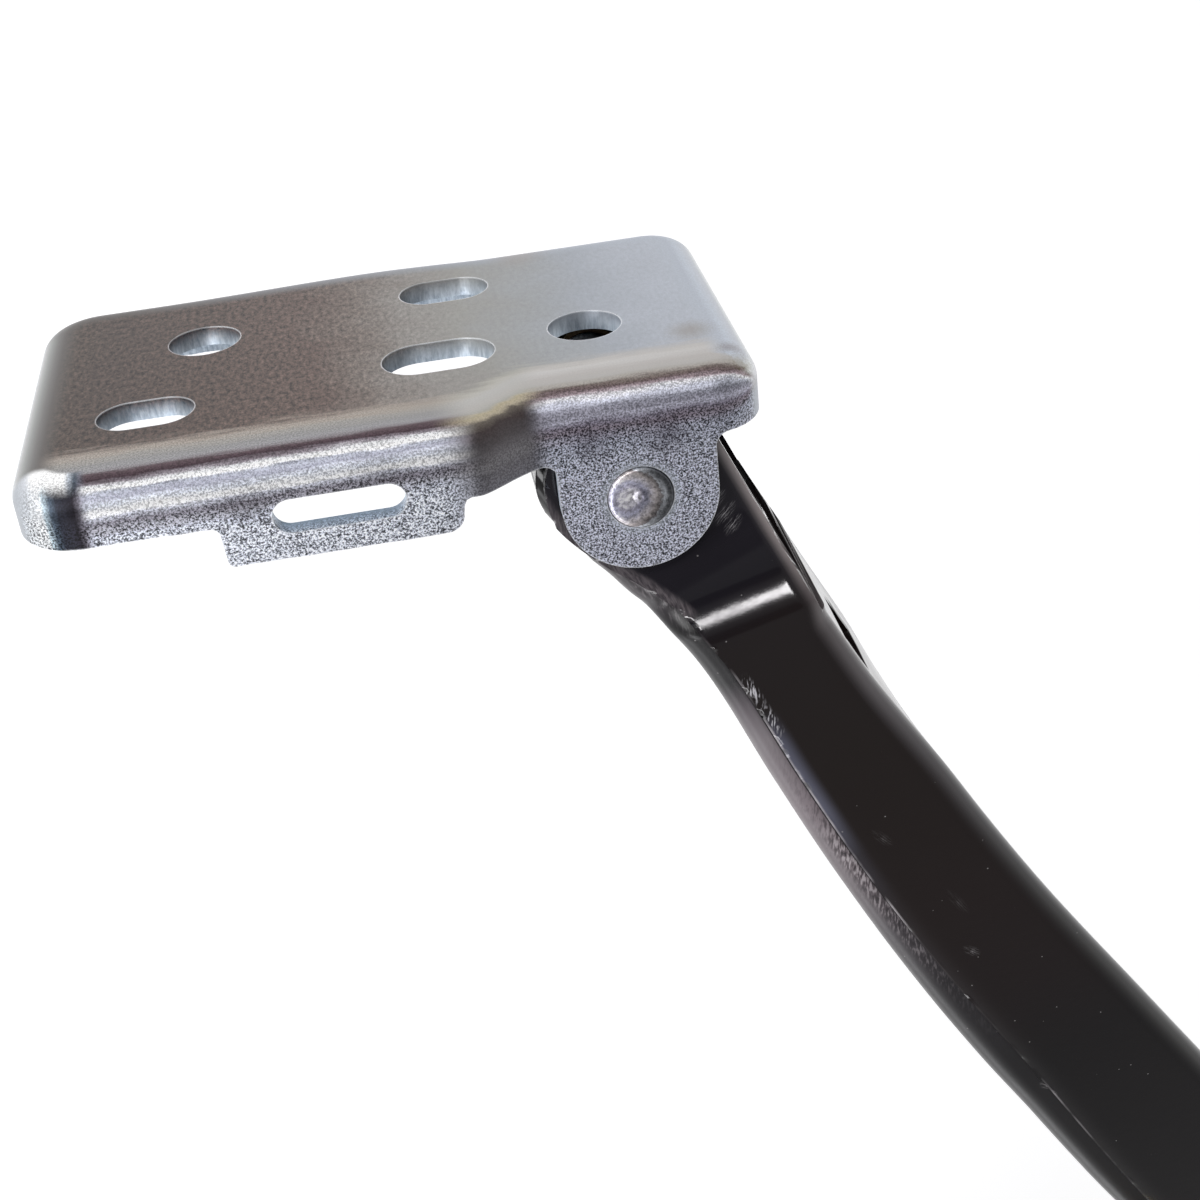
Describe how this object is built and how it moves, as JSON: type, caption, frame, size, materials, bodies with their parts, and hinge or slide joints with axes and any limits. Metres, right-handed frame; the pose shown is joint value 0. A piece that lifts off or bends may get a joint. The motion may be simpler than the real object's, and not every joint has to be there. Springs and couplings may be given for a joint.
{
  "type": "sliding door roller",
  "caption": "Hinged roller arm for a van sliding door: flanged zinc bracket, curved black box-section arm, and a swivelling carriage with a load roller and guide rollers.",
  "frame": {"origin": "a solid spot of the bracket plate's outer face, between the fixing holes", "axes": "+Y out of the plate's outer face, towards the door; +Z along the hinge pin, up in use; +X along the plate towards the hinge"},
  "size_m": [0.2388, 0.2555, 0.0791],
  "materials": {
    "zinc_plated_sheet": "bright zinc plating with a fine grain, worn and slightly stained",
    "spun_pin_steel": "darker spun steel, turned swirl in the dished head",
    "gloss_black_paint": "gloss warm black paint with light scuffs",
    "sintered_bronze": "dull porous bronze",
    "turned_axle_steel": "turned steel",
    "ground_bearing_steel": "ground bearing steel",
    "stamped_cage_steel": "stamped sheet steel",
    "black_roller_nylon": "satin black nylon",
    "cream_guide_nylon": "satin cream nylon",
    "spring_clip_steel": "dark tempered spring steel"
  },
  "bodies": {
    "door_bracket": {"bracket_plate": "zinc_plated_sheet", "hinge_pin": "spun_pin_steel"},
    "swing_arm": {"arm_outer_shell": "gloss_black_paint", "arm_inner_shell": "gloss_black_paint", "hinge_bush_upper": "sintered_bronze", "hinge_bush_lower": "sintered_bronze", "swivel_bush_upper": "sintered_bronze", "swivel_bush_lower": "sintered_bronze"},
    "carriage": {"carriage_frame": "zinc_plated_sheet", "swivel_pin": "turned_axle_steel", "swivel_washer": "turned_axle_steel", "swivel_clip": "spring_clip_steel", "load_axle": "turned_axle_steel", "load_spacer": "turned_axle_steel", "load_race_inner": "ground_bearing_steel", "guide_stud_left": "turned_axle_steel", "guide_stud_right": "turned_axle_steel", "guide_sleeve_left": "turned_axle_steel", "guide_sleeve_right": "turned_axle_steel"},
    "load_roller": {"load_tyre": "black_roller_nylon", "load_race_outer": "ground_bearing_steel"},
    "ball_cage": {"load_ball_cage": "stamped_cage_steel"},
    "guide_roller_left": {"guide_tyre_left": "cream_guide_nylon", "guide_race_left": "ground_bearing_steel"},
    "guide_roller_right": {"guide_tyre_right": "cream_guide_nylon", "guide_race_right": "ground_bearing_steel"}
  },
  "joints": [
    {"name": "arm_hinge", "type": "hinge", "parent": "door_bracket", "child": "swing_arm", "pos_m": [0.042, -0.0176, 0.0036], "axis": [0, 0, 1], "range_deg": [-95, 40]},
    {"name": "carriage_swivel", "type": "hinge", "parent": "swing_arm", "child": "carriage", "pos_m": [0.15867, -0.21523, 0.02], "axis": [0, 0, 1], "range_deg": [-28, 55]},
    {"name": "load_roller_spin", "type": "hinge", "parent": "carriage", "child": "load_roller", "pos_m": [0.15867, -0.24173, 0.0176], "axis": [0, 1, 0], "continuous": true},
    {"name": "ball_cage_spin", "type": "hinge", "parent": "carriage", "child": "ball_cage", "pos_m": [0.15867, -0.24173, 0.0176], "axis": [0, 1, 0], "continuous": true},
    {"name": "guide_spin_left", "type": "hinge", "parent": "carriage", "child": "guide_roller_left", "pos_m": [0.13367, -0.22123, 0.043], "axis": [0, 0, 1], "continuous": true},
    {"name": "guide_spin_right", "type": "hinge", "parent": "carriage", "child": "guide_roller_right", "pos_m": [0.18367, -0.22123, 0.043], "axis": [0, 0, 1], "continuous": true}
  ],
  "couplings": [
    {"joint": "ball_cage_spin", "follows": "load_roller_spin", "ratio": 0.599}
  ]
}
